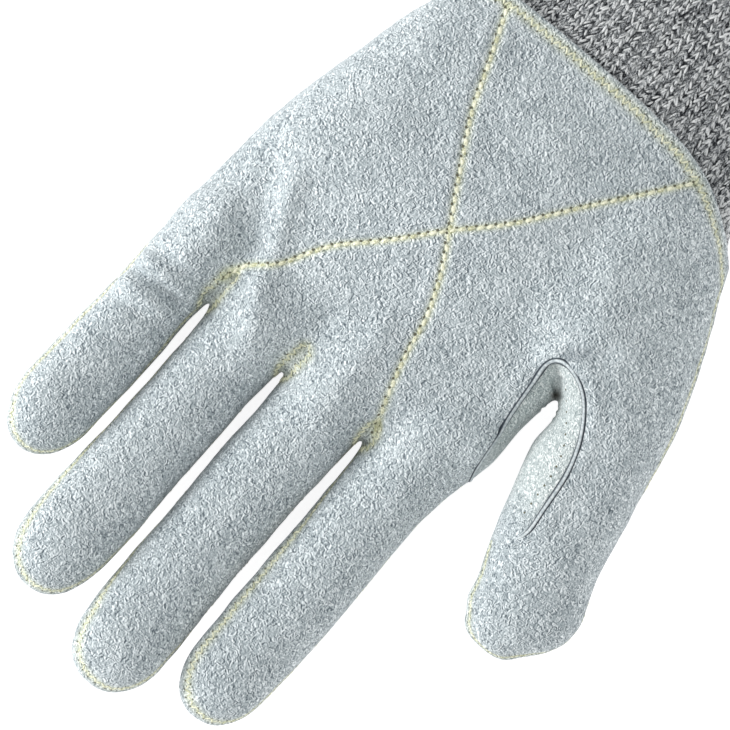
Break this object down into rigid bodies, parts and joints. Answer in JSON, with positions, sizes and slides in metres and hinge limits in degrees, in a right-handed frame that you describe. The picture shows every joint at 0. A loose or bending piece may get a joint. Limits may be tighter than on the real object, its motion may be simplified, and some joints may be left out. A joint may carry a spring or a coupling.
{
  "type": "cut-resistant work glove",
  "caption": "Left-hand knitted work glove with a ribbed cuff, a sewn-on split-leather palm and a leather gusset in the fork of the thumb.",
  "frame": {"origin": "on the rest plane under the knit back, straight below the crossing of the two stitch lines in the palm", "axes": "+Y towards the fingertips, +Z out of the palm, -X towards the thumb"},
  "size_m": [0.1458, 0.2622, 0.047],
  "materials": {
    "palm_leather": "pale grey-blue split leather, napped and matt",
    "gusset_leather": "paler grey split leather, napped and matt",
    "knit": "grey heather knit of cut-resistant yarn, matt",
    "cuff_knit": "grey heather rib knit, matt",
    "sewing_thread": "pale yellow aramid sewing thread"
  },
  "bodies": {
    "root": {"palm_leather": "palm_leather", "thumb_gusset": "gusset_leather", "knit_hand": "knit", "knit_thumb": "knit", "knit_index": "knit", "knit_middle": "knit", "knit_ring": "knit", "knit_little": "knit", "rib_cuff": "cuff_knit"}
  },
  "joints": []
}
